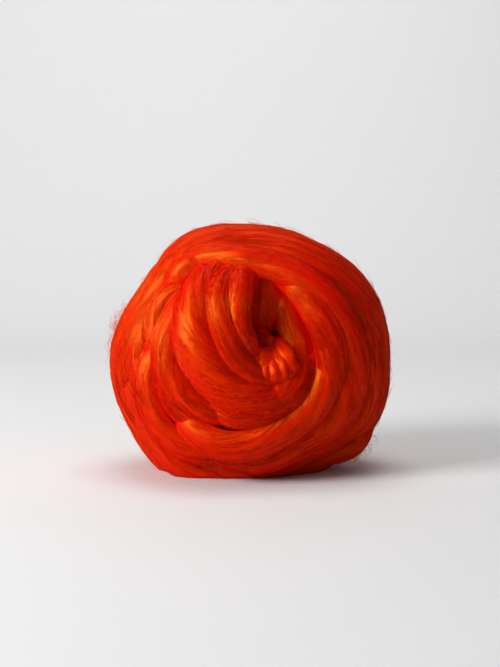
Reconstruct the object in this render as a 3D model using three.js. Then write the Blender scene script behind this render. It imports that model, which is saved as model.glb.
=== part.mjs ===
// A ball of combed viscose roving: one long soft strand, some 25 mm across where it lies flat, wound
// round itself like a nest, with its loose end tucked into the middle of the front face. The ball
// stands on its edge, and has settled flat underneath. Millimetres, +Z up, the tucked end towards -Y.
import * as THREE from "three";
import { mergeVertices } from "three/addons/utils/BufferGeometryUtils.js";

// The whole ball
const CENTRE_HEIGHT = 50.2; // from the table to the middle of the winding
const HALF_DEPTH = 43; // of the packed body, from its middle to the front or the back
const BODY_SQUARENESS = 2.25; // 2 is an ellipsoid, and more is flatter on the front and back
const TO_BACK = 1.6; // puts the middle of the ball's depth over the origin

// How far the packed body reaches from the middle, seen from the front, every 30 degrees
// counterclockwise from the right. It sags outwards at the two lower corners.
const BODY_OUTLINE = [53.8, 52, 48.5, 47.5, 51, 50, 52.8, 53.6, 58, 56, 60, 55.6];

// The middle of the winding on the front face, as a direction from the ball's middle
const EYE = new THREE.Vector3(0.131, -0.969, 0.211).normalize();

// The strand
const CROWN_SHARE = 0.85; // how high a pass stands over its own edges, as a share of its half width
const MOST_CROWN = 6.5;
const CROWN_POWER = 0.75; // 0.5 is a half ellipse across a pass, and 1 is a parabola
const EDGE_SLOPE = 1.4; // how steeply a pass falls away past its edge
const TIP_WIDTH = 0.45; // the width left where a pass dives under its neighbours
const TIP_DROP = 4; // how deep it dives there
const PRESS = 1.6; // passes whose heights differ by less than this press together softly
const BED_DEPTH = 5; // the bed between passes lies this far under the body's outline
const PATH_STEPS = 64;

// The hollow in the eye, beside the tucked end
const HOLLOW = { turn: 103, reach: 8, radius: 9.5, depth: 17 };

// Each pass of the strand that shows, at even steps along it. turn is the angle round the eye, in
// degrees counterclockwise from the right, and reach is how far from the eye it lies, in degrees over
// the ball, where 90 is the rim and 180 the middle of the back. half is half its width, and lift is
// how far its bed stands over the body at its start, middle and end, in millimetres.
const PASSES = {
  rim_far: { turn: [116, 72, 28, -14, -58], reach: [77, 72, 73, 80, 82], half: 6.6, lift: [-1, 0.5, -1] },
  crown_outer: { turn: [155, 105, 49, -6, -52], reach: [70, 58, 48, 60, 78], half: 6.2, lift: [-2, 1.2, 0] },
  crown_inner: { turn: [130, 88, 26, -24, -62], reach: [59, 40, 36, 51, 67], half: 6.8, lift: [2.5, 1.6, -1] },
  left_outer: { turn: [115, 149, 176, 207, 238], reach: [39, 61, 77, 84, 78], half: 6, lift: [-3, 1, 1] },
  left_second: { turn: [129, 151, 170, 189, 205], reach: [41, 49, 58, 65, 72], half: 4.8, lift: [-2, 0, -4] },
  left_lobe: { turn: [180, 202, 225, 248, 272], reach: [52, 64, 70, 67, 65], half: 7.8, lift: [-4, 2.6, -1] },
  left_inner: { turn: [137, 168, 197, 225, 253], reach: [41, 46, 52, 53, 49], half: 6.8, lift: [-3, 1.2, -4] },
  big_lobe: { turn: [126, 169, 213, 263, 322], reach: [38, 36, 33, 27, 25], half: 8.4, lift: [-3, 3.2, -3] },
  eye_lobe: { turn: [123, 144, 183, 252, 300], reach: [40, 27, 16, 15, 24], half: 5.8, lift: [-2, 2.2, -5] },
  eye_edge: { turn: [111, 118, 141, 197, 247], reach: [37, 25, 15, 10, 16], half: 4, lift: [-2, 2.4, -6] },
  under_band: { turn: [212, 242, 276, 318, 366], reach: [42, 39, 32, 28, 25], half: 5.8, lift: [-4, 0.5, -3] },
  under_low: { turn: [219, 248, 280, 317, 358], reach: [47, 45, 38, 34, 30], half: 5, lift: [-4, 0, -3] },
  front_foot: { turn: [226, 254, 282, 314, 350], reach: [58, 56, 48, 42, 35], half: 6.8, lift: [1, 2, -2] },
  front_sole: { turn: [237, 265, 293, 323, 355], reach: [64, 63, 56, 51, 41], half: 6.4, lift: [-3, 0.5, -1] },
  right_band: { turn: [84, 47, 9, -21, -43], reach: [33, 28, 31, 39, 50], half: 7.4, lift: [1.5, 1.5, -2] },
  eye_right: { turn: [70, 43, -3, -31, -52], reach: [25, 17, 18, 27, 35], half: 6.2, lift: [-7, -3.5, -4] },
  eye_wall: { turn: [92, 91, 89, 83, 70], reach: [35, 27, 20, 12, 7], half: 6, lift: [-4, -11, -19] },
  eye_twist: { turn: [122, 108, 23, -22, -25], reach: [13, 6, 3, 8, 15], half: 2.8, lift: [-15, -13, -10] },
  tucked_end: { turn: [-55, -63, -68, -70, -72], reach: [4, 8, 12, 16, 21], half: 10, lift: [-10, -0.5, -8] },
  low_right: { turn: [-32, -45, -58, -71, -85], reach: [70, 73, 69, 66, 66], half: 5.6, lift: [-4, -2, -3] },
  rim_left: { turn: [120, 156, 191, 226, 262], reach: [84, 94, 99, 95, 84], half: 8.5, lift: [-2, 1, 0] },
  rim_top: { turn: [168, 132, 95, 58, 22], reach: [88, 92, 93, 90, 88], half: 8, lift: [-2, 1, -1] },
  rim_right: { turn: [58, 25, -8, -41, -74], reach: [90, 89, 93, 95, 90], half: 8.5, lift: [-2, 0.5, -1] },
  rim_sole: { turn: [-30, -62, -95, -128, -160], reach: [84, 88, 86, 84, 88], half: 9, lift: [-1, 1, -1] },
  back_upper: { turn: [200, 149, 98, 47, -4], reach: [104, 108, 106, 107, 112], half: 9.2, lift: [-2, 1, -2] },
  back_lower: { turn: [188, 234, 280, 326, 372], reach: [108, 112, 106, 104, 104], half: 9.2, lift: [-2, 1, -1] },
  back_left: { turn: [70, 119, 168, 217, 266], reach: [118, 122, 127, 124, 120], half: 9, lift: [-2, 1.4, -2] },
  back_right: { turn: [104, 50, -4, -58, -112], reach: [124, 120, 124, 127, 126], half: 8.8, lift: [-3, 1, -2] },
  back_high: { turn: [212, 162, 111, 60, 10], reach: [142, 138, 136, 140, 146], half: 8.4, lift: [-3, 1, -3] },
  back_low: { turn: [186, 238, 289, 340, 392], reach: [144, 142, 140, 139, 142], half: 8.4, lift: [-3, 1, -3] },
  back_curl: { turn: [60, 120, 180, 240, 300], reach: [150, 155, 158, 158, 160], half: 7, lift: [-4, 0, -4] },
  back_middle: { turn: [-40, 8, 55, 102, 150], reach: [156, 162, 166, 165, 158], half: 6.6, lift: [-4, -1, -4] },
  back_over: { turn: [66, 33, 0, -33, -66], reach: [98, 122, 140, 124, 100], half: 8, lift: [-2, 3.6, -2] },
};

// The value at share t of a smooth curve through the values, which stand at even steps.
function along(values, t) {
  const last = values.length - 1;
  const place = Math.min(Math.max(t, 0), 1) * last;
  const i = Math.min(Math.floor(place), last - 1);
  const f = place - i;
  const before = values[Math.max(i - 1, 0)];
  const after = values[Math.min(i + 2, last)];
  const slopeIn = (values[i + 1] - before) / 2;
  const slopeOut = (after - values[i]) / 2;
  const rise = values[i + 1] - values[i];
  const bend = 3 * rise - 2 * slopeIn - slopeOut;
  const twist = slopeIn + slopeOut - 2 * rise;
  return values[i] + f * (slopeIn + f * (bend + f * twist));
}

// The body's reach from the middle at an angle seen from the front.
function outlineAt(angle) {
  const n = BODY_OUTLINE.length;
  const place = THREE.MathUtils.euclideanModulo((angle / (2 * Math.PI)) * n, n);
  const i = Math.floor(place);
  const around = [-1, 0, 1, 2].map((k) => BODY_OUTLINE[(i + k + n) % n]);
  return along(around, (1 + place - i) / 3);
}

// How far the packed body reaches from its middle in a direction.
function bodyRadius(direction) {
  const inFront = Math.hypot(direction.x, direction.z) / outlineAt(Math.atan2(direction.z, direction.x));
  const inDepth = Math.abs(direction.y) / HALF_DEPTH;
  return (inFront ** BODY_SQUARENESS + inDepth ** BODY_SQUARENESS) ** (-1 / BODY_SQUARENESS);
}

// Two directions across the eye's own: to the right and upwards, seen from the front.
const EYE_RIGHT = new THREE.Vector3(1, 0, 0).projectOnPlane(EYE).normalize();
const EYE_UP = new THREE.Vector3().crossVectors(EYE, EYE_RIGHT);

// The direction at a turn round the eye and a reach from it, both in degrees.
function directionAt(turn, reach) {
  const a = THREE.MathUtils.degToRad(turn);
  const r = THREE.MathUtils.degToRad(reach);
  return EYE.clone()
    .multiplyScalar(Math.cos(r))
    .addScaledVector(EYE_RIGHT, Math.sin(r) * Math.cos(a))
    .addScaledVector(EYE_UP, Math.sin(r) * Math.sin(a));
}

// A pass as a line of places over the ball, each with its half width and its bed's height.
function layPass({ turn, reach, half, lift }) {
  return Array.from({ length: PATH_STEPS + 1 }, (_, k) => {
    const t = k / PATH_STEPS;
    const fromMiddle = Math.abs(2 * t - 1);
    const direction = directionAt(along(turn, t), along(reach, t));
    return {
      direction,
      radius: bodyRadius(direction),
      half: half * (1 - (1 - TIP_WIDTH) * fromMiddle ** 3),
      lift: along(lift, t) - TIP_DROP * fromMiddle ** 8,
    };
  });
}

// How high a pass stands over the body in a direction, or well below it away from the pass.
function passHeight(line, direction) {
  let nearest = line[0];
  let closest = -1;
  for (const place of line) {
    const closeness = place.direction.dot(direction);
    if (closeness > closest) [closest, nearest] = [closeness, place];
  }
  const aside = Math.acos(Math.min(closest, 1)) * nearest.radius;
  const crown = Math.min(nearest.half * CROWN_SHARE, MOST_CROWN);
  const share = aside / nearest.half;
  if (share > 1) return nearest.lift - (aside - nearest.half) * EDGE_SLOPE;
  return nearest.lift + crown * (1 - share ** 2) ** CROWN_POWER;
}

// The upper of two heights, rounded where they are nearly level.
function pressed(a, b) {
  return Math.max(a, b) + (PRESS / 4) * Math.max(0, 1 - Math.abs(a - b) / PRESS) ** 2;
}

// The bed under the passes, with the hollow pressed into it.
function bedHeight(direction) {
  const hollow = directionAt(HOLLOW.turn, HOLLOW.reach);
  const aside = direction.angleTo(hollow) * HALF_DEPTH;
  return -BED_DEPTH - HOLLOW.depth * Math.exp(-((aside / HOLLOW.radius) ** 2));
}

// The wound ball: an even mesh of a sphere, each point moved out to the highest pass over it.
function woundBall(detail) {
  const ball = new THREE.IcosahedronGeometry(1, detail);
  ball.deleteAttribute("normal");
  ball.deleteAttribute("uv");
  const geometry = mergeVertices(ball, 1e-5);
  const lines = Object.values(PASSES).map(layPass);
  const points = geometry.getAttribute("position");
  const direction = new THREE.Vector3();
  for (let k = 0; k < points.count; k += 1) {
    direction.fromBufferAttribute(points, k).normalize();
    const height = lines.map((line) => passHeight(line, direction)).reduce(pressed, bedHeight(direction));
    const toFloor = direction.z < 0 ? -CENTRE_HEIGHT / direction.z : Infinity;
    const place = direction.multiplyScalar(Math.min(bodyRadius(direction) + height, toFloor));
    points.setXYZ(k, place.x, place.y + TO_BACK, place.z + CENTRE_HEIGHT);
  }
  geometry.computeVertexNormals();
  return geometry;
}

const viscose = new THREE.MeshStandardMaterial({ color: 0xe8410e, roughness: 0.55, metalness: 0 });

const roving = new THREE.Group();
const ball = new THREE.Mesh(woundBall(23), viscose);
ball.name = "ball";
roving.add(ball);

export default roving;
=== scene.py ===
"""A ball of combed viscose roving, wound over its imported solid.

One soft glossy strand lies over a packed heart in long passes that dive under each other, and its loose
end is tucked into the eye on the front. Combed fibres lie along the passes, and a few stray ones stand off.
The tables are in millimetres and degrees. Meshes are in metres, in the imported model's frame.
"""

import math

import bpy
import numpy as np
from bpy.props import FloatProperty, FloatVectorProperty, IntProperty, PointerProperty
from bpy.types import Operator, Panel, PropertyGroup
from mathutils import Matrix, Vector


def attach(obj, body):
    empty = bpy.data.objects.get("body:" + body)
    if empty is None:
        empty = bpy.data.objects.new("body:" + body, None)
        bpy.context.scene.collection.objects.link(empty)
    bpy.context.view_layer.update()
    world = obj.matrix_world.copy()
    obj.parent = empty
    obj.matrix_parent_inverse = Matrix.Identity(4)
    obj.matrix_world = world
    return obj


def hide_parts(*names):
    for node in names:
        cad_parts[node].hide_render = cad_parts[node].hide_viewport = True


bl_info = {
    "name": "Viscose Roving Ball",
    "version": (1, 0, 0),
    "blender": (4, 5, 0),
    "location": "View3D > Sidebar > Roving",
    "description": "Winds a ball of combed viscose roving over its packed solid",
    "category": "Object",
}

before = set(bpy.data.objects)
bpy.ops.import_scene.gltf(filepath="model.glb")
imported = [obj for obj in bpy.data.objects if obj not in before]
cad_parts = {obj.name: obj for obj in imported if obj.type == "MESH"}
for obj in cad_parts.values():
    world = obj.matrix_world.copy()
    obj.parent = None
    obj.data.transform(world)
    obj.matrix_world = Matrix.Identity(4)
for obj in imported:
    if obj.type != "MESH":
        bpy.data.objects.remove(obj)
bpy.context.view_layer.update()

MM = 0.001
BODY = "root"
NODE = "ball"

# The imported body, as in the solid: how far it reaches from its middle, seen from the front, every 30
# degrees counterclockwise from the right
BODY_OUTLINE = (53.8, 52.2, 48.8, 47.5, 50.6, 48, 52.2, 53.4, 57.2, 57, 53, 57)
BODY_SQUARENESS = 2.25
CENTRE = np.array([0.0, 1.6, 50.2])
EYE = np.array([0.131, -0.969, 0.211])

# The strand's section, and how it tapers where it dives. ROUNDNESS is the power of the arch that its top
# follows, and ROUND_TIP the share of half its length that rounds off.
CROWN_SHARE = 0.85
MOST_CROWN = 6.5
ROUNDNESS = 0.62
TIP_WIDTH = 0.45
TIP_DROP = 4.0
ROUND_TIP = 0.05
UNDERSIDE = 2.5

# The relief of the locks: over what run and width their lines wander and by how much of a lock, over what
# run a lock and a wisp change, and how sharp their grooves are
WANDER = {"run": 22, "lane": 9, "share": 0.35}
LOCK_RUN = 60
WISP_RUN = 34
GROOVE = 1.6

# How finely a pass is sampled along its line, for its length and for its height over the body
LENGTH_SAMPLES = 129
HEIGHT_SAMPLES = 97

# Each pass of the strand, at even steps along it. turn is the angle round the eye, counterclockwise from
# the right, and reach how far from the eye it lies over the ball: 90 is the rim, and 180 the middle of the
# back. half is half its width, lift how far its bed stands over the body, and lean the angle between its
# fibres and its own line, positive away from the eye. The passes named fill, bed or knot lie low, under the
# others, and close the gaps between them.
PASSES = {
    "far_side": {
        "rim_far": ([116, 72, 28, -14, -58], [77, 72, 73, 80, 82], 6.6, [-1, 0.5, -1], 4),
        "rim_left": ([120, 156, 191, 226, 262], [88, 98, 103, 99, 88], 9.5, [-1, 1.5, 0], 6),
        "rim_top": ([168, 132, 95, 58, 22], [88, 92, 93, 90, 88], 8.0, [-2, 1, -1], -5),
        "rim_right": ([58, 25, -8, -41, -74], [90, 89, 93, 95, 90], 8.5, [-2, 0.5, -1], 5),
        "rim_sole": ([-30, -62, -95, -128, -160], [84, 88, 86, 84, 88], 9.0, [-1, 1, -1], 0),
        "back_upper": ([200, 149, 98, 47, -4], [104, 108, 106, 107, 112], 9.2, [-2, 1, -2], 6),
        "back_lower": ([188, 234, 280, 326, 372], [108, 112, 106, 104, 104], 9.2, [-2, 1, -1], -6),
        "back_left": ([70, 119, 168, 217, 266], [118, 122, 127, 124, 120], 9.0, [-2, 1.4, -2], 8),
        "back_right": ([104, 50, -4, -58, -112], [124, 120, 124, 127, 126], 8.8, [-3, 1, -2], -6),
        "back_high": ([212, 162, 111, 60, 10], [142, 138, 136, 140, 146], 8.4, [-3, 1, -3], 7),
        "back_low": ([186, 238, 289, 340, 392], [144, 142, 140, 139, 142], 8.4, [-3, 1, -3], -8),
        "back_curl": ([60, 120, 180, 240, 300], [150, 155, 158, 158, 160], 7.0, [-4, 0, -4], 6),
        "back_middle": ([-40, 8, 55, 102, 150], [156, 162, 166, 165, 158], 6.6, [-4, -1, -4], 0),
        "back_over": ([66, 33, 0, -33, -66], [98, 122, 140, 124, 100], 8.0, [-2, 3.6, -2], 5),
        "fill_crown": ([158, 108, 58, 8, -42], [80, 68, 60, 65, 80], 7.6, [-2.5, -0.5, -2.5], 3),
        "fill_left": ([112, 145, 178, 205, 235], [80, 77, 84, 83, 80], 8.0, [-2.5, -0.5, -2.5], -4),
        "fill_sole": ([205, 240, 275, 310, 345], [74, 77, 78, 79, 76], 7.6, [-4, -3.4, -4], 2),
        "fill_middle": ([20, 60, 110, 160, 200], [150, 164, 170, 164, 150], 9.0, [-3, -1, -3], 3),
        "fill_beside": ([200, 240, 290, 340, 380], [146, 157, 162, 157, 146], 9.0, [-3, -1.5, -3], -3),
        "fill_right": ([-70, -45, -20, 5, 30], [112, 115, 117, 116, 112], 7.4, [-3, -1, -3], 0),
        "fill_behind": ([150, 170, 190, 210, 230], [112, 114, 114, 116, 116], 6.8, [-3, -1, -3], 0),
        "fill_low": ([205, 225, 245, 265, 285], [132, 133, 133, 133, 132], 6.8, [-3, -1, -3], 0),
    },
    "front_outer": {
        "crown_outer": ([155, 105, 49, -6, -52], [70, 58, 48, 60, 78], 6.2, [-2, 1.2, 0], 5),
        "crown_inner": ([133, 92, 30, -23, -62], [62, 40, 35, 51, 67], 7.4, [0.4, 1.2, 2.1, 0.3, -1], 6),
        "left_outer": ([138, 162, 184, 205, 226], [60, 69, 78, 88, 88], 6.4, [-2, 1, 0.5], 4),
        "left_second": ([141, 152, 164, 177, 189], [52, 58, 61, 61, 65], 5.0, [-2, 1.5, 0.8, -2.5], -5),
        "left_lobe": ([176, 195, 214, 233, 253], [54, 63, 69, 70, 68], 6.4, [-3, 1.5, 3, 2, 0], -6),
        "left_under": ([-179, -162, -147, -131, -115], [47, 51, 55, 56, 56], 7.0, [-3, 0.2, -3], 0),
        "left_knot": ([118, 127, 136, 144, 152], [52, 56, 59, 61, 62], 6.4, [-2, 0, -2], 0),
        "left_bed": ([158, 171, 184, 197, 210], [63, 67, 70, 73, 75], 6.6, [-2, -0.4, -2], 0),
        "left_inner": ([130, 163, 194, 224, 256], [46, 48, 50, 49, 46], 6.8, [-4, 0.5, 2, 0.4, -4], 6),
        "front_foot": ([-138, -109, -80, -47, -10], [59, 56, 49, 42, 35], 6.8, [1.8, 3.3, 2.4, 0, -2], -8),
        "front_sole": ([237, 265, 293, 323, 355], [65, 65, 58, 52, 41], 7.4, [-3, 0.5, -1], -5),
        "low_corner": ([-22, -34, -45, -56, -68], [82, 85, 86, 86, 84], 6.4, [-2, 3, -3], 0),
        "low_right": ([-32, -45, -58, -71, -85], [70, 73, 69, 66, 66], 6.6, [-4, -2, -3], 0),
    },
    "front_inner": {
        "big_lobe": (
            [104, 147, 199, 259, 313], [48, 39, 32, 31, 37], 9.0,
            [-6, -2.4, 1.5, 3.7, 3.9, 2.6, 1.2, -1, -5], -24,
        ),
        "eye_lobe": (
            [91, 127, 181, 263, 317], [47, 33, 19, 22, 32], 6.8,
            [-6, -2.8, 1.3, 3.3, 3.4, 1.8, -0.5, -4, -8], -8,
        ),
        "eye_edge": (
            [88, 107, 134, 200, 273], [46, 33, 19, 11, 17], 6.0,
            [-6, -3, 1, 3, 3.2, 2.4, 0.5, -3, -7], -4,
        ),
        "under_band": ([212, 238, 268, 306, 350], [42, 39, 33, 28, 25], 5.8, [-4, 0.5, 0, -6], -6),
        "under_low": ([219, 246, 275, 308, 344], [47, 45, 39, 34, 30], 5.0, [-4, 0, -0.5, -6], -6),
        "right_band": ([84, 71, 29, -14, -43], [59, 38, 30, 37, 50], 7.6, [-6, -1, 0.5, -0.5, -2], 8),
        "eye_right": ([80, 62, 26, -13, -36], [46, 34, 25, 25, 31], 8.0, [-4, -7.5, -9.5, -7.5, -8], 6),
        "eye_wall": ([85, 84, 83, 80, 68], [52, 41, 29, 17, 6], 7.6, [-1, -1.5, -5, -10, -17], 0),
        "eye_twist": ([122, 108, 23, -22, -25], [13, 6, 3, 8, 15], 3.2, [-13, -11, -9], 0),
        "tucked_end": ([-11, -62, -73, -75, -76], [7, 12, 18, 24, 30], 12.0, [-12, -4.5, -3.4, -10], 0),
        "tucked_fold": ([-103, -125, -113, -98, -85], [2, 8, 13, 18, 22], 4.8, [-11, -2, -9], 0),
        "tuck_left": ([-86, -102, -103, -99, -95], [9, 12, 18, 24, 29], 3.3, [-10, -1.5, -0.4, -8], 4),
        "tuck_near_left": ([-56, -81, -88, -87, -85], [8, 12, 18, 24, 29], 3.3, [-10, -0.8, 0.3, -8], -4),
        "tuck_near_right": ([5, -43, -59, -64, -67], [8, 12, 18, 24, 29], 3.3, [-10, -0.8, 0.3, -8], 4),
        "tuck_middle": ([-20, -62, -73, -75, -76], [7, 12, 18, 24, 29], 3.3, [-10, -0.4, 0.7, -8], -3),
        "tuck_right": ([20, -23, -44, -52, -59], [9, 12, 18, 24, 29], 3.3, [-10, -1.5, -0.4, -8], 3),
        "tucked_side": ([-7, -21, -34, -50, -64], [10, 16, 21, 23, 25], 4.2, [-13, -8, -12], 0),
    },
}

# Tufts that stand off the ball: the turn and reach where each roots, how far round it they spread in
# degrees, how many guides each has, and how long and how high they stand
TUFTS = {
    "left_tuft": (170, 87, 4, 70, 6.0, 4.6),
    "upper_left": (146, 82, 5, 20, 5.0, 2.4),
    "top_wisps": (80, 74, 9, 30, 12.0, 2.4),
    "right_wisps": (-10, 84, 7, 16, 8.0, 1.6),
    "low_right_tuft": (-42, 84, 3, 22, 5.0, 3.4),
}

# How wide the tips of some passes are at their start and end, as a share of their width
WIDE_TIPS = {
    "crown_inner": (0.75, 0.45),
    "eye_lobe": (0.85, 0.45),
    "eye_edge": (0.85, 0.45),
    "big_lobe": (0.85, 0.45),
    "eye_wall": (0.85, 0.3),
    "right_band": (0.8, 0.45),
    "front_foot": (0.7, 0.45),
    "eye_right": (0.9, 0.45),
}

# Passes that lie flatter than round: how high they stand over their bed
FLAT_PASSES = {"eye_wall": 2.5, "left_second": 3.8, "eye_lobe": 5.0, "eye_edge": 4.4, "eye_right": 4.0}

# The heart of the ball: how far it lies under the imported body, and the hollow in the eye, pressed into it
BED_DEPTH = 2.5
HOLLOW = {"turn": 75, "reach": 9, "radius": 14.0, "depth": 18.0}

# How far the passes, the heart, the guides and the fibres stay off the surface that the ball stands on
PASS_GAP = 0.02
HEART_GAP = 0.1
LOWEST_GUIDE = 0.15
LOWEST_FIBRE = 0.12

# Combed fibres: how many steps along its line a guide is tried at, how many guides are tried for each one
# that is kept, how far a fibre may lie under another pass and still count as shown, the shortest fibre, and
# the distance and number of a guide's points
TRIES = 30
SPARE = 3
COVER = 1.2
SHORTEST_FIBRE = 3.5
POINT_DISTANCE = 4.5
MOST_POINTS = 9

# Stray fibres: the shortest and how much longer some are, how high they rise, and how deep they root
STRAY_LENGTH = (3.0, 8)
STRAY_RISE = (0.35, 1.0)
ROOT_DEPTH = 0.3

# The course of a fibre: how much narrower a lock is at its ends, the waves in each metre, how far along the
# noise each fibre starts and its rise lies from its sway, and how strong the rise is beside the sway
LOCK_NARROWS = 0.55
WAVES_PER_METRE = 110.0
FIBRE_SHIFT = 900.0
RISE_SHIFT = 50.0
RISE_SHARE = 0.5

# How much of its thickness a fibre loses at its ends, how thin and how much thicker fibres are as a share of
# their radius, and how much of its shade is its own and not its lock's
FIBRE_TAPER = 0.8
THINNEST = 0.6
THICKER = 0.8
OWN_SHADE = 0.6

# Sockets of nodes that have several with the same name
RANDOM_FLOAT = 1
MIX_FIRST = 6
MIX_SECOND = 7
MIX_RESULT = 2

# Where the painted glow of light through the fibres at the edges starts and is full, from front to back, and
# how much of it there is then
EDGE_STARTS = -32.0
EDGE_ENDS = -4.0
EDGE_SHARE = 0.85

# The photograph's view: the camera looks a little down at the ball from the front
CAMERA_DISTANCE = 0.6
CAMERA_DOWN = 5.0
CAMERA_AIM = (0.0, 0.0, 0.0577)
CAMERA_LENS = 76.1
WORLD_LIGHT = 0.16


class RovingSizes(PropertyGroup):
    """Sizes of the winding and of its combed relief."""

    half_depth: FloatProperty(
        name="Half Depth",
        description="From the middle of the packed body to its front or back",
        default=0.043,
        unit="LENGTH",
    )
    lock_relief: FloatProperty(
        name="Lock Relief",
        description="How far the locks within a pass stand over the grooves between them",
        default=0.0005,
        unit="LENGTH",
    )
    lock_width: FloatProperty(
        name="Lock Width",
        description="Width of a lock within a pass",
        default=0.0042,
        unit="LENGTH",
    )
    wisp_relief: FloatProperty(
        name="Wisp Relief",
        description="Depth of the fine grooves within a lock",
        default=0.00007,
        unit="LENGTH",
    )
    wisp_width: FloatProperty(
        name="Wisp Width",
        description="Width of the fine grooves within a lock",
        default=0.0012,
        unit="LENGTH",
    )


class RovingFibres(PropertyGroup):
    """Sizes and numbers of the combed and stray fibres."""

    fibre_radius: FloatProperty(
        name="Fibre Radius",
        description="Radius of a combed fibre, several real ones that lie together",
        default=0.000045,
        unit="LENGTH",
    )
    fibres_per_lock: IntProperty(
        name="Fibres per Lock",
        description="How many fibres lie along each guide",
        default=5,
        min=1,
    )
    lock_spread: FloatProperty(
        name="Lock Spread",
        description="How far the fibres of a lock lie to either side of their guide",
        default=0.0013,
        unit="LENGTH",
    )
    fibre_length: FloatProperty(
        name="Fibre Length",
        description="Length of a combed fibre where it shows",
        default=0.017,
        unit="LENGTH",
    )
    stray_radius: FloatProperty(
        name="Stray Radius",
        description="Radius of a stray fibre",
        default=0.000035,
        unit="LENGTH",
    )
    stray_count: IntProperty(
        name="Stray Fibres",
        description="How many stray fibres stand off the ball",
        default=2000,
        min=0,
    )
    seed: IntProperty(name="Seed", description="Where the random numbers start", default=7)


class RovingColours(PropertyGroup):
    """Colours of the dyed fibre."""

    dye: FloatVectorProperty(
        name="Dye",
        description="Colour of the lit fibre",
        default=(0.7, 0.0016, 0.0001),
        subtype="COLOR",
        min=0,
        max=1,
    )
    # On the combed viscose this colour fills the grooves of the streaks' bump, as painted shade
    deep_dye_and_groove_shade: FloatVectorProperty(
        name="Deep Dye and Groove Shade",
        description="Colour of the darker fibres",
        default=(0.63, 0.0009, 0.0001),
        subtype="COLOR",
        min=0,
        max=1,
    )
    # On the combed viscose this colour lies on the ridges of the streaks' bump, as a painted highlight
    bright_dye_and_ridge_highlight: FloatVectorProperty(
        name="Bright Dye and Ridge Highlight",
        description="Colour of the lightest fibres",
        default=(0.78, 0.012, 0.0003),
        subtype="COLOR",
        min=0,
        max=1,
    )
    # A glow of light through the fibres at the edges and the back, painted into their colour
    painted_edge_glow: FloatVectorProperty(
        name="Painted Edge Glow",
        description="Colour of the edges and the back, where light comes through the fibres",
        default=(0.72, 0.024, 0.0005),
        subtype="COLOR",
        min=0,
        max=1,
    )
    gloss: FloatVectorProperty(
        name="Gloss",
        description="Tint of the shine along the fibres",
        default=(1.0, 0.34, 0.01),
        subtype="COLOR",
        min=0,
        max=1,
    )
    floor: FloatVectorProperty(
        name="Floor",
        description="Colour of the floor and backdrop",
        default=(0.78, 0.78, 0.78),
        subtype="COLOR",
        min=0,
        max=1,
    )


def along(values, t):
    """The value at each share t of a smooth curve through values, which stand at even steps."""
    values = np.asarray(values, float)
    last = len(values) - 1
    place = np.clip(t, 0, 1) * last
    i = np.minimum(place.astype(int), last - 1)
    f = place - i
    start, end = values[i], values[i + 1]
    slope_in = (end - values[np.maximum(i - 1, 0)]) / 2
    slope_out = (values[np.minimum(i + 2, last)] - start) / 2
    rise = end - start
    bend = 3 * rise - 2 * slope_in - slope_out
    twist = slope_in + slope_out - 2 * rise
    return start + f * (slope_in + f * (bend + f * twist))


def unit(vectors):
    """The vectors at length 1."""
    return vectors / np.linalg.norm(vectors, axis=-1, keepdims=True)


def body_radius(direction, half_depth):
    """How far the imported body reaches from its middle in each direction."""
    count = len(BODY_OUTLINE)
    ring = np.concatenate([BODY_OUTLINE[-1:], BODY_OUTLINE, BODY_OUTLINE[:2]])
    angle = np.arctan2(direction[..., 2], direction[..., 0])
    outline = along(ring, (1 + (angle / math.tau * count) % count) / (count + 2))
    in_front = np.hypot(direction[..., 0], direction[..., 2]) / outline
    in_depth = np.abs(direction[..., 1]) / half_depth
    return (in_front**BODY_SQUARENESS + in_depth**BODY_SQUARENESS) ** (-1 / BODY_SQUARENESS)


EYE_OUT = unit(EYE)
EYE_RIGHT = unit(np.array([1.0, 0.0, 0.0]) - EYE_OUT[0] * EYE_OUT)
EYE_UP = np.cross(EYE_OUT, EYE_RIGHT)


def direction_at(turn, reach):
    """The direction from the ball's middle at a turn round the eye and a reach from it, in degrees."""
    a, r = np.radians(turn)[..., None], np.radians(reach)[..., None]
    return np.cos(r) * EYE_OUT + np.sin(r) * (np.cos(a) * EYE_RIGHT + np.sin(a) * EYE_UP)


def noise(x, y, seed):
    """Smooth noise from -1 to 1 over a plane, the same for the same seed."""

    def corner(i, j):
        """What the slope at one corner of the grid adds."""
        mixed = (i * 374761393 + j * 668265263 + seed * 982451653) & 0xFFFFFFFF
        mixed = ((mixed ^ (mixed >> 13)) * 1274126177) & 0xFFFFFFFF
        angle = (mixed ^ (mixed >> 16)) / 0xFFFFFFFF * math.tau
        return np.cos(angle) * (x - i) + np.sin(angle) * (y - j)

    i, j = np.floor(x).astype(np.int64), np.floor(y).astype(np.int64)
    fx, fy = x - i, y - j
    ease_x = fx * fx * fx * (fx * (6 * fx - 15) + 10)
    ease_y = fy * fy * fy * (fy * (6 * fy - 15) + 10)
    low = corner(i, j) * (1 - ease_x) + corner(i + 1, j) * ease_x
    high = corner(i, j + 1) * (1 - ease_x) + corner(i + 1, j + 1) * ease_x
    return 1.5 * (low * (1 - ease_y) + high * ease_y)


def off_floor(direction, radius, gap):
    """The radius in each direction, cut short where it would come nearer to the floor than a gap."""
    level = -1e-6
    down = direction[..., 2]
    floor = np.where(down < level, -CENTRE[2] / np.minimum(down, level), 1e9)
    return np.minimum(radius, floor - gap)


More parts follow.
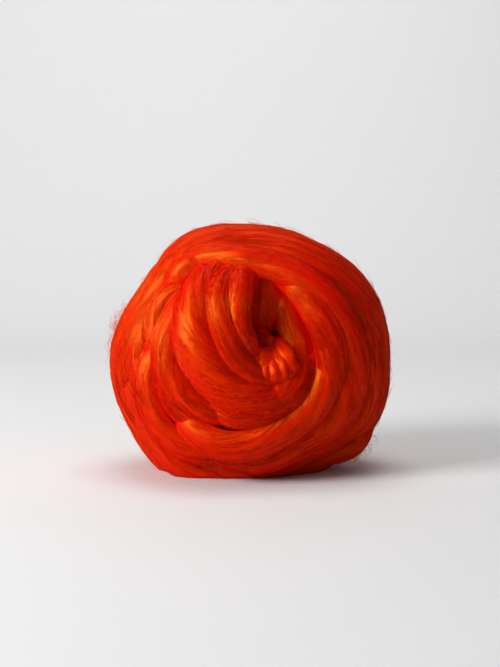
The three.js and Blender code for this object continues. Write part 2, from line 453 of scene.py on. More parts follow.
class Lay:
    """One pass laid over the ball: its line, its width and height along it, and its surface."""

    def __init__(self, name, row, sizes, seed):
        self.name, self.seed = name, seed
        self.turn, self.reach, self.half, self.lift, self.lean = row
        self.sizes = sizes
        self.half_depth = sizes.half_depth / MM
        self.crown = min(self.half * CROWN_SHARE, FLAT_PASSES.get(name, MOST_CROWN))
        t = np.linspace(0, 1, LENGTH_SAMPLES)
        line = direction_at(along(self.turn, t), along(self.reach, t))
        steps = np.linalg.norm(np.diff(line * body_radius(line, self.half_depth)[:, None], axis=0), axis=1)
        self.run = np.concatenate([[0], np.cumsum(steps)])
        self.length = self.run[-1]
        self.sign = 1
        here, side = self.at(np.array([0.5]))[:2]
        outward = EYE_OUT - np.sum(EYE_OUT * here) * here
        if np.sum(side * outward) > 0:
            self.sign = -1

    def at(self, t):
        """The line's direction, its side away from the eye, half width, bed height and distance run."""
        t = np.asarray(t, float)
        step = 0.004
        here = direction_at(along(self.turn, t), along(self.reach, t))
        before = direction_at(along(self.turn, t - step), along(self.reach, t - step))
        after = direction_at(along(self.turn, t + step), along(self.reach, t + step))
        side = self.sign * unit(np.cross(after - before, here))
        from_middle = np.abs(2 * t - 1)
        rounding = (from_middle - (1 - ROUND_TIP)).clip(0) / ROUND_TIP
        tip = np.sqrt(np.clip(1 - rounding**2, 0.02, 1))
        first, last = WIDE_TIPS.get(self.name, (TIP_WIDTH, TIP_WIDTH))
        half = self.half * (1 - np.where(t < 0.5, 1 - first, 1 - last) * from_middle**3) * tip
        bed = along(self.lift, t) - TIP_DROP * from_middle**8
        run = np.interp(t, np.linspace(0, 1, len(self.run)), self.run)
        return here, side, half, bed, run

    def share(self, run):
        """The share along the pass at a distance run."""
        return np.interp(run, self.run, np.linspace(0, 1, len(self.run)))

    def drift(self, run):
        """How far the fibres have moved aside, away from the eye, after a distance along the pass."""
        return math.tan(math.radians(self.lean)) * run

    def relief(self, run, aside):
        """Height of the locks and wisps at a distance along and aside, in its fibres' own lanes."""
        lane = aside - self.drift(run)
        wander = WANDER["share"] * noise(run / WANDER["run"], lane / WANDER["lane"], self.seed)
        lock = lane * MM / self.sizes.lock_width + wander
        wisp = lane * MM / self.sizes.wisp_width + 2 * wander
        locks = 0.5 - np.abs(noise(run / LOCK_RUN, lock, self.seed + 1)) * GROOVE
        wisps = 0.5 - np.abs(noise(run / WISP_RUN, wisp, self.seed + 2)) * GROOVE
        return (self.sizes.lock_relief * locks + self.sizes.wisp_relief * wisps) / MM

    def point(self, t, s, under=None):
        """Points on the pass in millimetres at shares t along it and s across it, from -1 to 1.

        Their directions and the distance run come with them. under tells which lie on its underside.
        """
        here, side, half, bed, run = self.at(t)
        angle = s * half / (body_radius(here, self.half_depth) + bed)
        direction = unit(here * np.cos(angle)[..., None] + side * np.sin(angle)[..., None])
        crown = np.minimum(half * CROWN_SHARE, self.crown)
        arch = np.clip(1 - s**2, 0, 1)
        height = bed + crown * arch**ROUNDNESS
        fade = np.clip(half / self.half * 1.4, 0, 1)
        height = height + self.relief(run, s * self.half) * arch**0.5 * fade
        if under is not None:
            height = np.where(under, bed - UNDERSIDE * arch**0.5, height)
        radius = body_radius(direction, self.half_depth) + height
        return CENTRE + direction * off_floor(direction, radius, PASS_GAP)[..., None], direction, run


def height_over(lays, direction):
    """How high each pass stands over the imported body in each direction: one row for each pass."""
    t = np.linspace(0, 1, HEIGHT_SAMPLES)
    heights = []
    for lay in lays:
        here, _, half, bed, _ = lay.at(t)
        closeness = direction @ here.T
        nearest = closeness.argmax(axis=1)
        radius = body_radius(here, lay.half_depth)[nearest]
        aside = np.arccos(np.clip(closeness.max(axis=1), -1, 1)) * radius / half[nearest]
        crown = np.minimum(half[nearest] * CROWN_SHARE, lay.crown)
        over = bed[nearest] + crown * np.clip(1 - aside**2, 0, 1) ** ROUNDNESS
        heights.append(np.where(aside > 1, -99, over))
    return np.array(heights)


def shown(heights, k):
    """Where pass k stands above the others, or at most a little below them."""
    others = np.delete(heights, k, axis=0).max(axis=0)
    return heights[k] > others - COVER


def comb(laid, groups, wanted, length, crossing, rng):
    """Guides for fibres on groups of passes, where they show: points, across, out and tone of each.

    They cross the pass's own fibres at up to the tangent given as crossing.
    """
    keys = list(laid)
    lays = list(laid.values())
    own = [k for k, key in enumerate(keys) if key[0] in groups]
    area = np.array([lays[k].length * lays[k].half for k in own])
    guides = []
    for k, n in zip(own, np.round(wanted * area / area.sum()).astype(int)):
        lay = lays[k]
        n = SPARE * n
        start = lay.length * rng.uniform(0.02, 0.98, n)
        across = np.cos(math.pi * rng.uniform(0.06, 0.94, n)) * lay.half
        span = length * rng.uniform(0.45, 1.25, n)
        wander = rng.uniform(-crossing, crossing, n)
        f = np.linspace(-0.5, 0.5, TRIES + 1)

        def line(run):
            """The shares along and across the pass of the guides' points at a distance run."""
            lane = across[:, None] - lay.drift(start)[:, None] + lay.drift(run)
            lane = lane + wander[:, None] * (run - start[:, None])
            return lay.share(run), np.clip(lane / lay.half, -0.97, 0.97)

        run = np.clip(start[:, None] + f * span[:, None], 0.01 * lay.length, 0.99 * lay.length)
        t, s = line(run)
        direction = lay.point(t, s)[1]
        seen = shown(height_over(lays, direction.reshape(-1, 3)), k).reshape(n, TRIES + 1)
        middle = TRIES // 2
        fore = seen[:, middle:]
        ahead = np.where(fore.all(axis=1), middle, (~fore).argmax(axis=1))
        back = seen[:, middle::-1]
        behind = np.where(back.all(axis=1), middle, (~back).argmax(axis=1))
        rows = np.arange(n)
        first, last = run[rows, middle - behind], run[rows, middle + ahead]
        good = np.nonzero(seen[:, middle] & (last - first > SHORTEST_FIBRE))[0][: n // SPARE]
        across, start, wander = across[good], start[good], wander[good]
        first, last = first[good], last[good]
        steps = np.clip(((last - first) / POINT_DISTANCE).astype(int) + 2, 3, MOST_POINTS)
        for count in np.unique(steps):
            some = steps == count
            whole = (across, start, wander)
            across, start, wander = across[some], start[some], wander[some]
            run = first[some, None] + (last - first)[some, None] * np.linspace(0, 1, count)
            t, s = line(run)
            points = lay.point(t, s)[0]
            side = unit(lay.point(t, s + 0.1)[0] - lay.point(t, s - 0.1)[0])
            ahead_by = unit(np.gradient(points, axis=1))
            out = unit(np.cross(ahead_by, side))
            outward = np.sum(out * (points - CENTRE), axis=-1, keepdims=True)
            looseness = rng.uniform(0.4, 1.0, len(points))[:, None, None]
            tone = np.broadcast_to(rng.uniform(0, 1, len(points))[:, None], points.shape[:2])
            guides.append((points, side * looseness, out * np.sign(outward), tone))
            across, start, wander = whole
    return guides


def stray(laid, count, rng):
    """Guides for stray fibres that leave the outermost passes: points, across, out and tone of each."""
    lays = list(laid.values())
    turn, reach = rng.uniform(0, 360, count), np.degrees(np.arccos(rng.uniform(-0.95, 0.97, count)))
    length = STRAY_LENGTH[0] + STRAY_LENGTH[1] * rng.uniform(0, 1, count) ** 3
    rise = STRAY_RISE[0] + STRAY_RISE[1] * rng.uniform(0, 1, count) ** 3
    for at_turn, at_reach, spread, number, tuft_length, tuft_rise in TUFTS.values():
        turn = np.concatenate([turn, at_turn + rng.normal(0, spread, number)])
        reach = np.concatenate([reach, at_reach + rng.normal(0, spread, number)])
        length = np.concatenate([length, tuft_length * rng.uniform(0.5, 1.3, number)])
        rise = np.concatenate([rise, tuft_rise * rng.uniform(0.3, 1.2, number)])
    direction = direction_at(turn, reach)
    heights = height_over(lays, direction)
    top = heights.argmax(axis=0)
    radius = body_radius(direction, lays[0].half_depth) + heights.max(axis=0)
    root = CENTRE + direction * radius[:, None]
    line = np.zeros_like(root)
    t = np.linspace(0, 1, HEIGHT_SAMPLES)
    for k, lay in enumerate(lays):
        own = top == k
        if own.any():
            here, side, _, _, _ = lay.at(t)
            nearest = (direction[own] @ here.T).argmax(axis=1)
            line[own] = np.cross(here, side)[nearest]
    across = unit(np.cross(direction, line))
    line = np.cross(across, direction) * rng.choice([-1, 1], len(line))[:, None]
    swing = rng.normal(0, 0.3, len(line))[:, None]
    bend = rng.normal(0, 0.25, len(line))[:, None]
    curl = rng.uniform(0.45, 1.05, len(line))[:, None]
    ahead = unit(line + across * swing)
    f = np.linspace(0, 1, 6)[None, :, None]
    run = length[:, None, None]
    points = root[:, None] + run * f * ahead[:, None] + run * f**2 * bend[:, None] * across[:, None]
    up = rise[:, None, None] * np.sin(math.pi * f * curl[:, None]) - ROOT_DEPTH
    points = points + up * direction[:, None]
    points[..., 2] = np.maximum(points[..., 2], LOWEST_GUIDE)
    shape = points.shape
    tone = np.broadcast_to(rng.uniform(0, 1, len(points))[:, None], shape[:2])
    across, direction = (np.broadcast_to(v[:, None], shape) for v in (across, direction))
    return [(points, across, direction, tone)]


def guide_object(name, guides):
    """A mesh of open lines, one for each guide, that carries the directions across and out, and a tone."""
    points = np.concatenate([g[0].reshape(-1, 3) for g in guides])
    edges, start = [], 0
    for lines, _, _, _ in guides:
        n, count = lines.shape[:2]
        first = start + np.arange(n)[:, None] * count + np.arange(count - 1)
        edges.append(np.stack([first, first + 1], -1).reshape(-1, 2))
        start += n * count
    mesh = bpy.data.meshes.new(name)
    mesh.from_pydata((points * MM).tolist(), np.concatenate(edges).tolist(), [])
    for place, label in ((1, "across"), (2, "out")):
        vectors = np.concatenate([g[place].reshape(-1, 3) for g in guides])
        layer = mesh.attributes.new(label, "FLOAT_VECTOR", "POINT")
        layer.data.foreach_set("vector", vectors.astype(np.float32).ravel())
    tones = np.concatenate([g[3].ravel() for g in guides])
    mesh.attributes.new("tone", "FLOAT", "POINT").data.foreach_set("value", tones.astype(np.float32))
    piece = bpy.data.objects.new(name, mesh)
    bpy.context.scene.collection.objects.link(piece)
    return piece


class Wiring:
    """Adds nodes to a node tree and wires them."""

    def __init__(self, tree):
        self.nodes, self.links = tree.nodes, tree.links

    def put(self, value, socket):
        """Wires the value to the socket where it comes from a node, and otherwise sets it there."""
        if isinstance(value, bpy.types.NodeSocket):
            self.links.new(value, socket)
        else:
            socket.default_value = value

    def add(self, kind, inputs=None, **settings):
        """A new node with these settings and inputs."""
        node = self.nodes.new(kind)
        for name, value in settings.items():
            setattr(node, name, value)
        for name, value in (inputs or {}).items():
            self.put(value, node.inputs[name])
        return node

    def maths(self, operation, *values):
        """The outcome of an operation on sockets or numbers."""
        return self.add("ShaderNodeMath", dict(enumerate(values)), operation=operation).outputs[0]

    def vector_maths(self, operation, inputs):
        """The outcome of an operation on vectors."""
        return self.add("ShaderNodeVectorMath", inputs, operation=operation).outputs[0]


def fibre_tree():
    """Geometry nodes that lay several thin fibres along each guide line."""
    tree = bpy.data.node_groups.new("Comb Fibres", "GeometryNodeTree")
    face = tree.interface
    face.new_socket("Geometry", in_out="INPUT", socket_type="NodeSocketGeometry")
    for name, kind, value in (
        ("Fibres per Lock", "NodeSocketInt", 4),
        ("Spread", "NodeSocketFloat", 0.0006),
        ("Lift", "NodeSocketFloat", 0.00008),
        ("Wave", "NodeSocketFloat", 0.00025),
        ("Tuck", "NodeSocketFloat", 0.0003),
        ("Fibre Radius", "NodeSocketFloat", 0.00006),
        ("Seed", "NodeSocketInt", 1),
        ("Fibre Material", "NodeSocketMaterial", None),
    ):
        socket = face.new_socket(name, in_out="INPUT", socket_type=kind)
        if value is not None:
            socket.default_value = value
    face.new_socket("Geometry", in_out="OUTPUT", socket_type="NodeSocketGeometry")
    wiring = Wiring(tree)
    add, maths, vector_maths = wiring.add, wiring.maths, wiring.vector_maths
    entry = add("NodeGroupInput").outputs

    def named(label, kind="FLOAT_VECTOR"):
        """An attribute of the guides by its name."""
        return add("GeometryNodeInputNamedAttribute", {"Name": label}, data_type=kind).outputs["Attribute"]

    curves = add("GeometryNodeMeshToCurve", {"Mesh": entry["Geometry"]})
    copies = add(
        "GeometryNodeDuplicateElements",
        {"Geometry": curves.outputs["Curve"], "Amount": entry["Fibres per Lock"]},
        domain="SPLINE",
    )

    # Random numbers that each fibre keeps along its whole length
    keep = add("GeometryNodeCaptureAttribute", {"Geometry": copies.outputs["Geometry"]}, domain="CURVE")
    kept = {}
    for number, label in enumerate(("aside", "height", "shade", "thickness", "phase")):
        keep.capture_items.new("FLOAT", label)
        seed = maths("ADD", entry["Seed"], number)
        chance = add("FunctionNodeRandomValue", {"Seed": seed}, data_type="FLOAT")
        wiring.put(chance.outputs[RANDOM_FLOAT], keep.inputs[label])
        kept[label] = keep.outputs[label]

    spline = add("GeometryNodeSplineParameter").outputs
    from_middle = maths("ABSOLUTE", maths("MULTIPLY_ADD", spline["Factor"], 2.0, -1.0))

    def wave(offset):
        """Smooth noise along the fibre from -1 to 1, times the wave's height. Each fibre has its own."""
        place = maths("MULTIPLY_ADD", kept["phase"], FIBRE_SHIFT, offset)
        place = maths("ADD", place, maths("MULTIPLY", spline["Length"], WAVES_PER_METRE))
        waves = add("ShaderNodeTexNoise", {"Scale": 1.0, "Detail": 1.0}, noise_dimensions="1D")
        wiring.put(place, waves.inputs["W"])
        return maths("MULTIPLY", maths("MULTIPLY_ADD", waves.outputs["Fac"], 2.0, -1.0), entry["Wave"])

    lens = maths("SUBTRACT", 1.0, maths("MULTIPLY", maths("POWER", from_middle, 2.0), LOCK_NARROWS))
    aside = maths("MULTIPLY_ADD", kept["aside"], 2.0, -1.0)
    aside = maths("MULTIPLY", maths("MULTIPLY", aside, entry["Spread"]), lens)
    aside = maths("ADD", aside, wave(0.0))
    lifted = maths("MULTIPLY", kept["height"], entry["Lift"])
    lifted = maths("ADD", lifted, maths("MULTIPLY", wave(RISE_SHIFT), RISE_SHARE))
    tucked = maths("MULTIPLY", maths("POWER", from_middle, 6.0), entry["Tuck"])
    lifted = maths("SUBTRACT", lifted, tucked)
    across = vector_maths("SCALE", {0: named("across"), "Scale": aside})
    out = vector_maths("SCALE", {0: named("out"), "Scale": lifted})
    offset = vector_maths("ADD", {0: across, 1: out})
    placed = add("GeometryNodeSetPosition", {"Geometry": keep.outputs["Geometry"], "Offset": offset})

    # No fibre reaches through the surface that the ball stands on
    here = add("GeometryNodeInputPosition").outputs[0]
    parts = add("ShaderNodeSeparateXYZ", {0: here}).outputs
    high = maths("MAXIMUM", parts["Z"], LOWEST_FIBRE * MM)
    above = add("ShaderNodeCombineXYZ", {"X": parts["X"], "Y": parts["Y"], "Z": high}).outputs[0]
    stood = add("GeometryNodeSetPosition", {"Geometry": placed.outputs["Geometry"], "Position": above})

    taper = maths("SUBTRACT", 1.0, maths("MULTIPLY", maths("POWER", from_middle, 4.0), FIBRE_TAPER))
    thick = maths("MULTIPLY_ADD", kept["thickness"], THICKER, THINNEST)
    thick = maths("MULTIPLY", maths("MULTIPLY", thick, taper), entry["Fibre Radius"])
    section = add("GeometryNodeCurvePrimitiveCircle", {"Resolution": 3, "Radius": 1.0}, mode="RADIUS")
    tube = add(
        "GeometryNodeCurveToMesh",
        {
            "Curve": stood.outputs["Geometry"],
            "Profile Curve": section.outputs["Curve"],
            "Scale": thick,
            "Fill Caps": True,
        },
    )
    lock_shade = maths("MULTIPLY", named("tone", "FLOAT"), 1 - OWN_SHADE)
    shade = maths("MULTIPLY_ADD", kept["shade"], OWN_SHADE, lock_shade)
    mark = add(
        "GeometryNodeStoreNamedAttribute",
        {"Geometry": tube.outputs["Mesh"], "Name": "shade"},
        data_type="FLOAT",
        domain="POINT",
    )
    wiring.put(shade, mark.inputs["Value"])
    smooth = add("GeometryNodeSetShadeSmooth", {"Geometry": mark.outputs["Geometry"]})
    realize = add("GeometryNodeRealizeInstances", {"Geometry": smooth.outputs["Geometry"]})
    finish = add(
        "GeometryNodeSetMaterial",
        {"Geometry": realize.outputs["Geometry"], "Material": entry["Fibre Material"]},
    )
    add("NodeGroupOutput", {"Geometry": finish.outputs["Geometry"]})
    return tree


def grow(name, guides, **look):
    """A plain mesh of fibres, made by the fibre tree along the guides."""
    look["Seed"] = bpy.context.scene.roving_fibres.seed
    look["Fibre Material"] = material_for("Single Fibres", fibre_material)
    source = guide_object(name + "_guides", guides)
    tree = bpy.data.node_groups.get("Comb Fibres") or fibre_tree()
    modifier = source.modifiers.new("fibres", "NODES")
    modifier.node_group = tree
    for item in tree.interface.items_tree:
        if item.item_type == "SOCKET" and item.in_out == "INPUT" and item.name in look:
            modifier[item.identifier] = look[item.name]
    graph = bpy.context.evaluated_depsgraph_get()
    mesh = bpy.data.meshes.new_from_object(source.evaluated_get(graph), depsgraph=graph)
    mesh.name = name
    piece = bpy.data.objects.new(name, mesh)
    bpy.context.scene.collection.objects.link(piece)
    bpy.data.objects.remove(source)
    return piece


def lay_all(sizes):
    """Every pass of the strand, by its group and its name."""
    laid = {}
    seed = 11
    for group, rows in PASSES.items():
        for name, row in rows.items():
            laid[group, name] = Lay(name, row, sizes, seed)
            seed += 5
    return laid


def mesh_object(name, points, faces, uvs=None):
    """A smooth mesh object from points in millimetres, four- or three-cornered faces and their UVs."""
    mesh = bpy.data.meshes.new(name)
    mesh.from_pydata((points * MM).tolist(), [], faces)
    if uvs is not None:
        layer = mesh.uv_layers.new(name="Strand")
        layer.uv.foreach_set("vector", np.asarray(uvs, np.float32).ravel())
    mesh.shade_smooth()
    piece = bpy.data.objects.new(name, mesh)
    bpy.context.scene.collection.objects.link(piece)
    return piece


def loft(lay, across=34, under=6, step=1.2):
    """Points, faces and UVs of one pass as a closed form with round tips."""
    rows = int(np.clip(lay.length / step, 24, 190)) + 1
    top = np.linspace(0, math.pi, across + 1)
    bottom = np.linspace(math.pi, math.tau, under + 1)[1:-1]
    around = np.concatenate([top, bottom])
    count = len(around)
    tt, ss = np.meshgrid(np.linspace(0, 1, rows), np.cos(around), indexing="ij")
    is_under = np.broadcast_to(np.arange(count) > across, tt.shape)
    points, _, run = lay.point(tt, ss, is_under)
    lanes = ss * lay.half - lay.drift(run)
    ends = points[[0, -1]].mean(axis=1)
    points = np.concatenate([points.reshape(-1, 3), ends])
    uv = np.stack([run, lanes], axis=-1).reshape(-1, 2) * MM
    uv = np.concatenate([uv, uv[[0, (rows - 1) * count]]])
    return points, closed_faces(points, rows, count, 0, rows * count), uv


def closed_faces(points, rows, count, start, first):
    """Faces over rows of count points, from start, closed by an end point at first and by the last point."""
    i, j = np.meshgrid(np.arange(rows - 1), np.arange(count), indexing="ij")
    here, beside = start + i * count + j, start + i * count + (j + 1) % count
    faces = np.stack([here, here + count, beside + count, beside], -1).reshape(-1, 4).tolist()
    ring = np.arange(count)
    beyond = (ring + 1) % count
    end = start + (rows - 1) * count
    faces += np.stack([np.full(count, first), start + ring, start + beyond], -1).tolist()
    faces += np.stack([np.full(count, len(points) - 1), end + beyond, end + ring], -1).tolist()
    if enclosed(points, faces) < 0:
        faces = [face[::-1] for face in faces]
    return faces


def enclosed(points, faces):
    """The volume inside faces, negative if they point inwards."""
    corners = np.array([(f[0], f[k], f[k + 1]) for f in faces for k in range(1, len(f) - 1)])
    a, b, c = points[corners[:, 0]], points[corners[:, 1]], points[corners[:, 2]]
    return float(np.sum(a * np.cross(b, c)) / 6)


def join_lofts(name, lofts):
    """One object from the points, faces and UVs of several passes."""
    points, faces, uvs = [], [], []
    start = 0
    for own_points, own_faces, own_uv in lofts:
        faces += [[start + k for k in face] for face in own_faces]
        points.append(own_points)
        uvs.append(own_uv)
        start += len(own_points)
    uv = np.concatenate(uvs)
    corners = np.array([k for face in faces for k in face])
    return mesh_object(name, np.concatenate(points), faces, uv[corners])


def tint_with_painted_glow(wiring, colours, colour):
    """The colour, turned towards a painted glow of light through the fibres from the front of the ball to
    its middle.
    """
    place = wiring.add("ShaderNodeTexCoord").outputs["Object"]
    depth = wiring.add("ShaderNodeSeparateXYZ", {0: place}).outputs["Y"]
    ends = {"From Min": EDGE_STARTS * MM, "From Max": EDGE_ENDS * MM, "To Max": EDGE_SHARE}
    share = wiring.add("ShaderNodeMapRange", {"Value": depth, **ends}).outputs["Result"]
    # The painted glow of light through the fibres, mixed in more towards the back
    edge = (*colours.painted_edge_glow, 1)
    inputs = {"Factor": share, MIX_FIRST: colour, MIX_SECOND: edge}
    return wiring.add("ShaderNodeMix", inputs, data_type="RGBA").outputs[MIX_RESULT]


def dye_and_painted_light(wiring, colours, amount, stops):
    """The dye from deep to bright by an amount that passes three stops, with a painted glow of light through
    the fibres at the edges.
    """
    ramp = wiring.add("ShaderNodeValToRGB", {"Fac": amount})
    elements = ramp.color_ramp.elements
    elements.new(stops[1])
    for element, stop, dye in zip(elements, stops, (colours.deep_dye_and_groove_shade, colours.dye, colours.bright_dye_and_ridge_highlight)):
        element.color = (*dye, 1)
        element.position = stop
    return tint_with_painted_glow(wiring, colours, ramp.outputs["Color"])


def new_material(name):
    """A material with no nodes yet, and the wiring of its tree."""
    material = bpy.data.materials.new(name)
    material.use_nodes = True
    material.node_tree.nodes.clear()
    return material, Wiring(material.node_tree)


def viscose_material(colours, name):
    """Dyed viscose: fine streaks along the fibres and a soft shine across them, with painted shade in the
    streaks' grooves and a painted highlight on their ridges.
    """
    material, wiring = new_material(name)
    uv = wiring.add("ShaderNodeUVMap", uv_map="Strand").outputs["UV"]

    def streak(along_scale, across_scale, detail):
        """Noise drawn out along the fibres."""
        scale = (along_scale, across_scale, 1)
        place = wiring.add("ShaderNodeMapping", {"Vector": uv, "Scale": scale}).outputs["Vector"]
        inputs = {"Vector": place, "Scale": 1, "Detail": detail, "Roughness": 0.6}
        return wiring.add("ShaderNodeTexNoise", inputs).outputs["Fac"]

    # The same streaks raise the bump and set the colour: its grooves get painted shade and its ridges a
    # painted highlight
    broad = streak(18, 420, 2)
    fine = streak(40, 1700, 4)
    fine_share = 0.6
    streaks = wiring.maths("MULTIPLY", broad, 1 - fine_share)
    streaks = wiring.maths("MULTIPLY_ADD", fine, fine_share, streaks)
    rough = wiring.add("ShaderNodeMapRange", {"Value": fine, "To Min": 0.48, "To Max": 0.38})
    bump = wiring.add("ShaderNodeBump", {"Height": streaks, "Strength": 0.45, "Distance": 0.0002})
    tangent = wiring.add("ShaderNodeTangent", direction_type="UV_MAP", uv_map="Strand")
    shader = wiring.add(
        "ShaderNodeBsdfPrincipled",
        {
            "Base Color": dye_and_painted_light(wiring, colours, streaks, (0.34, 0.52, 0.66)),
            "Roughness": rough.outputs["Result"],
            "IOR": 1.7,
            "Specular IOR Level": 0.5,
            "Specular Tint": (*colours.gloss, 1),
            "Anisotropic": 0.5,
            "Tangent": tangent.outputs["Tangent"],
            "Normal": bump.outputs["Normal"],
        },
    )
    wiring.add("ShaderNodeOutputMaterial", {"Surface": shader.outputs["BSDF"]})
    return material


def fibre_material(colours, name):
    """The same dyed viscose on single fibres, each a little lighter or darker than the next."""
    material, wiring = new_material(name)
    shade = wiring.add("ShaderNodeAttribute", attribute_name="shade").outputs["Fac"]
    shader = wiring.add(
        "ShaderNodeBsdfPrincipled",
        {
            # Random tones of single fibres, and the painted glow at the edges and the back
            "Base Color": dye_and_painted_light(wiring, colours, shade, (0, 0.55, 0.95)),
            "Roughness": 0.32,
            "IOR": 1.8,
            "Specular IOR Level": 0.6,
            "Specular Tint": (*colours.gloss, 1),
        },
    )
    wiring.add("ShaderNodeOutputMaterial", {"Surface": shader.outputs["BSDF"]})
    return material


def settle(piece, replaces=False):
    """Makes a finished piece ride on the ball's body, and hides the imported ball where the piece replaces
    it.
    """
    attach(piece, BODY)
    if replaces:
        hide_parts(NODE)


def material_for(name, make):
    """The named material, made once."""
    return bpy.data.materials.get(name) or make(bpy.context.scene.roving_colours, name)


class ROVING_OT_heart(Operator):
    """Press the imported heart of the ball, which shows only between the passes and in the eye"""

    bl_idname = "roving.heart"
    bl_label = "Packed Heart"

    def execute(self, context):
        sizes = context.scene.roving_sizes
        rings, spokes = 90, 120
        reach = np.linspace(0, 180, rings + 1)[1:-1]
        turn = np.arange(spokes) * 360 / spokes
        rr, tt = np.meshgrid(reach, turn, indexing="ij")
        direction = np.concatenate([[EYE_OUT], direction_at(tt, rr).reshape(-1, 3), [-EYE_OUT]])
        hollow = direction_at(np.array(HOLLOW["turn"]), np.array(HOLLOW["reach"]))
        aside = np.arccos(np.clip(direction @ hollow, -1, 1)) * sizes.half_depth / MM
        height = -BED_DEPTH - HOLLOW["depth"] * np.exp(-((aside / HOLLOW["radius"]) ** 2))
        radius = body_radius(direction, sizes.half_depth / MM) + height
        points = CENTRE + direction * off_floor(direction, radius, HEART_GAP)[:, None]
        faces = closed_faces(points, rings - 1, spokes, 1, 0)
        uv = np.concatenate([[[0, 0]], np.stack([tt, rr], -1).reshape(-1, 2), [[0, 180]]]) * MM
        corners = np.array([c for face in faces for c in face])
        piece = mesh_object("packed_heart", points, faces, uv[corners])
        piece.data.materials.append(material_for("Combed Viscose", viscose_material))
        settle(piece, replaces=True)
        return {"FINISHED"}


def wind(context, group, piece_name, **detail):
    """Lofts a group of passes into one piece."""
    laid = lay_all(context.scene.roving_sizes)
    lofts = [loft(lay, **detail) for (of, _), lay in laid.items() if of == group]
    piece = join_lofts(piece_name, lofts)
    piece.data.materials.append(material_for("Combed Viscose", viscose_material))
    settle(piece)


class ROVING_OT_far_side(Operator):
    """Wind the passes round the rim and over the back"""

    bl_idname = "roving.far_side"
    bl_label = "Rim and Back Passes"

    def execute(self, context):
        wind(context, "far_side", "rim_and_back_passes", across=26, under=6, step=1.8)
        return {"FINISHED"}


class ROVING_OT_front_outer(Operator):
    """Wind the outer passes of the front face"""

    bl_idname = "roving.front_outer"
    bl_label = "Outer Front Passes"

    def execute(self, context):
        wind(context, "front_outer", "outer_front_passes")
        return {"FINISHED"}


class ROVING_OT_front_inner(Operator):
    """Wind the passes round the eye and tuck in the loose end"""

    bl_idname = "roving.front_inner"
    bl_label = "Passes round the Eye"

    def execute(self, context):
        wind(context, "front_inner", "eye_passes_and_tucked_end", step=1.0)
        return {"FINISHED"}


def comb_group(context, groups, name, count, crossing=0.12, **changes):
    """Combs groups of passes with fibres."""
    settings = context.scene.roving_fibres
    laid = lay_all(context.scene.roving_sizes)
    rng = np.random.default_rng(settings.seed + len(name))
    guides = comb(laid, groups, count, settings.fibre_length / MM, crossing, rng)
    look = {
        "Fibres per Lock": settings.fibres_per_lock,
        "Spread": settings.lock_spread,
        "Fibre Radius": settings.fibre_radius,
    }
    settle(grow(name, guides, **{**look, **changes}))


class ROVING_OT_comb_inner(Operator):
    """Comb the fibres round the eye"""

    bl_idname = "roving.comb_inner"
    bl_label = "Fibres round the Eye"

    def execute(self, context):
        comb_group(context, ("front_inner",), "fibres_round_the_eye", 1700)
        return {"FINISHED"}


class ROVING_OT_comb_outer(Operator):
    """Comb the fibres of the outer front passes"""

    bl_idname = "roving.comb_outer"
    bl_label = "Fibres of the Outer Front"

    def execute(self, context):
        comb_group(context, ("front_outer",), "fibres_of_the_front", 1600)
        return {"FINISHED"}


class ROVING_OT_comb_far(Operator):
    """Comb the fibres of the rim and the back"""

    bl_idname = "roving.comb_far"
    bl_label = "Fibres of the Rim and Back"

    def execute(self, context):
        comb_group(context, ("far_side",), "fibres_of_the_rim_and_back", 1400)
        return {"FINISHED"}


class ROVING_OT_comb_loose(Operator):
    """Lay loose fibres over the ball at small angles to the combed ones"""

    bl_idname = "roving.comb_loose"
    bl_label = "Loose Fibres"

    def execute(self, context):
        loose = {"Fibres per Lock": 2, "Lift": 0.0005, "Wave": 0.0005, "Fibre Radius": 0.00003}
        comb_group(context, tuple(PASSES), "loose_fibres", 2300, crossing=0.35, **loose)
        return {"FINISHED"}


class ROVING_OT_strays(Operator):
    """Let single fibres and small tufts stand off the ball"""

    bl_idname = "roving.strays"
    bl_label = "Stray Fibres"

    def execute(self, context):
        settings = context.scene.roving_fibres
        laid = lay_all(context.scene.roving_sizes)
        guides = stray(laid, settings.stray_count, np.random.default_rng(settings.seed))
        free = {"Fibres per Lock": 2, "Spread": 0.0024, "Lift": 0.0004, "Wave": 0.0009, "Tuck": 0.0}
        settle(grow("stray_fibres", guides, **free, **{"Fibre Radius": settings.stray_radius}))
        return {"FINISHED"}


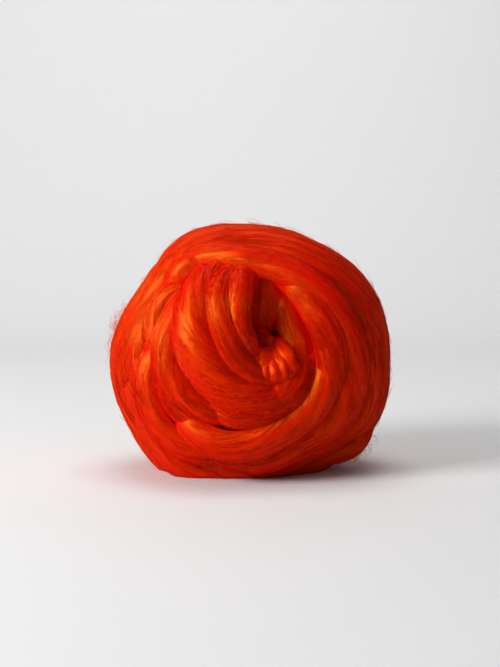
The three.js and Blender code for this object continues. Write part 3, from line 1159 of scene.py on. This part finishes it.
class ROVING_OT_stage(Operator):
    """Set up the pale floor, the soft studio light and the camera"""

    bl_idname = "roving.stage"
    bl_label = "Stage"

    def execute(self, context):
        scene = context.scene
        scene.view_settings.view_transform = "Standard"
        floor_colour = scene.roving_colours.floor
        material = bpy.data.materials.new("Pale Floor")
        material.use_nodes = True
        shader = material.node_tree.nodes["Principled BSDF"]
        shader.inputs["Base Color"].default_value = (*floor_colour, 1)
        shader.inputs["Roughness"].default_value = 0.7
        # A floor that curves up into a wall behind the ball, a hair under what the ball stands on
        width, front, bend_at, bend, wall, drop = 3.0, -1.6, 0.5, 0.5, 2.4, 0.00005
        steps = 16
        profile = [(front, 0.0), (bend_at, 0.0)]
        for k in range(1, steps + 1):
            a = math.pi / 2 * k / steps
            profile.append((bend_at + bend * math.sin(a), bend - bend * math.cos(a)))
        profile.append((bend_at + bend, wall))
        points = [(x, y, z) for y, z in profile for x in (-width / 2, width / 2)]
        faces = [(2 * k, 2 * k + 1, 2 * k + 3, 2 * k + 2) for k in range(len(profile) - 1)]
        mesh = bpy.data.meshes.new("floor")
        mesh.from_pydata([(x, y, z - drop) for x, y, z in points], [], faces)
        mesh.shade_smooth()
        mesh.materials.append(material)
        floor = bpy.data.objects.new("floor", mesh)
        scene.collection.objects.link(floor)
        # The shine comes from the lamps alone, as between black flags in a studio
        floor.visible_glossy = False

        world = bpy.data.worlds.new("Studio")
        world.use_nodes = True
        background = world.node_tree.nodes["Background"]
        background.inputs["Color"].default_value = (1, 1, 1, 1)
        background.inputs["Strength"].default_value = WORLD_LIGHT
        world.cycles_visibility.glossy = False
        scene.world = world

        for name, place, target, size, power in (
            ("window", (-0.75, -0.5, 0.46), (0, 0, 0.05), 0.45, 9.8),
            ("card", (-0.66, -0.74, 0.56), (0, 0, 0.05), 0.5, 8.5),
            ("sky", (0.1, 0, 1.5), (0.1, 0.1, 0), 1.0, 5.6),
            ("wash", (0, 0.25, 1.1), (0, 1.0, 0.35), 0.6, 4.6),
        ):
            light = bpy.data.lights.new(name, "AREA")
            light.shape = "SQUARE"
            light.size = size
            light.energy = power
            lamp = bpy.data.objects.new(name, light)
            lamp.location = place
            lamp.visible_glossy = name in ("window", "card")
            lamp.visible_diffuse = name != "card"
            lamp.rotation_euler = (Vector(target) - Vector(place)).to_track_quat("-Z", "Y").to_euler()
            scene.collection.objects.link(lamp)

        down = math.radians(CAMERA_DOWN)
        aim = Vector(CAMERA_AIM)
        camera = bpy.data.objects.new("camera", bpy.data.cameras.new("camera"))
        camera.location = aim + CAMERA_DISTANCE * Vector((0, -math.cos(down), math.sin(down)))
        camera.rotation_euler = (aim - camera.location).to_track_quat("-Z", "Y").to_euler()
        camera.data.lens = CAMERA_LENS
        camera.data.clip_start = 0.01
        scene.collection.objects.link(camera)
        scene.camera = camera
        return {"FINISHED"}


class ROVING_PT_panel(Panel):
    """Lists the sizes, colours and steps of the ball"""

    bl_idname = "ROVING_PT_panel"
    bl_label = "Roving Ball"
    bl_space_type = "VIEW_3D"
    bl_region_type = "UI"
    bl_category = "Roving"

    def draw(self, context):
        layout = self.layout
        for group in ("roving_sizes", "roving_fibres", "roving_colours"):
            settings = getattr(context.scene, group)
            box = layout.box()
            for name in settings.__annotations__:
                box.prop(settings, name)
        for operator in OPERATORS:
            layout.operator(operator.bl_idname)


OPERATORS = (
    ROVING_OT_stage,
    ROVING_OT_heart,
    ROVING_OT_far_side,
    ROVING_OT_front_outer,
    ROVING_OT_front_inner,
    ROVING_OT_comb_inner,
    ROVING_OT_comb_outer,
    ROVING_OT_comb_far,
    ROVING_OT_comb_loose,
    ROVING_OT_strays,
)
CLASSES = (RovingSizes, RovingFibres, RovingColours, *OPERATORS, ROVING_PT_panel)


def register():
    """Adds the operators, the panel and the settings to Blender."""
    for cls in CLASSES:
        bpy.utils.register_class(cls)
    bpy.types.Scene.roving_sizes = PointerProperty(type=RovingSizes)
    bpy.types.Scene.roving_fibres = PointerProperty(type=RovingFibres)
    bpy.types.Scene.roving_colours = PointerProperty(type=RovingColours)


def unregister():
    """Takes them out again."""
    del bpy.types.Scene.roving_sizes
    del bpy.types.Scene.roving_fibres
    del bpy.types.Scene.roving_colours
    for cls in reversed(CLASSES):
        bpy.utils.unregister_class(cls)


def main():
    """Builds the stage and the ball."""
    register()
    bpy.ops.roving.stage()
    bpy.ops.roving.heart()
    bpy.ops.roving.far_side()
    bpy.ops.roving.front_outer()
    bpy.ops.roving.front_inner()
    bpy.ops.roving.comb_inner()
    bpy.ops.roving.comb_outer()
    bpy.ops.roving.comb_far()
    bpy.ops.roving.comb_loose()
    bpy.ops.roving.strays()


if __name__ == "__main__":
    main()
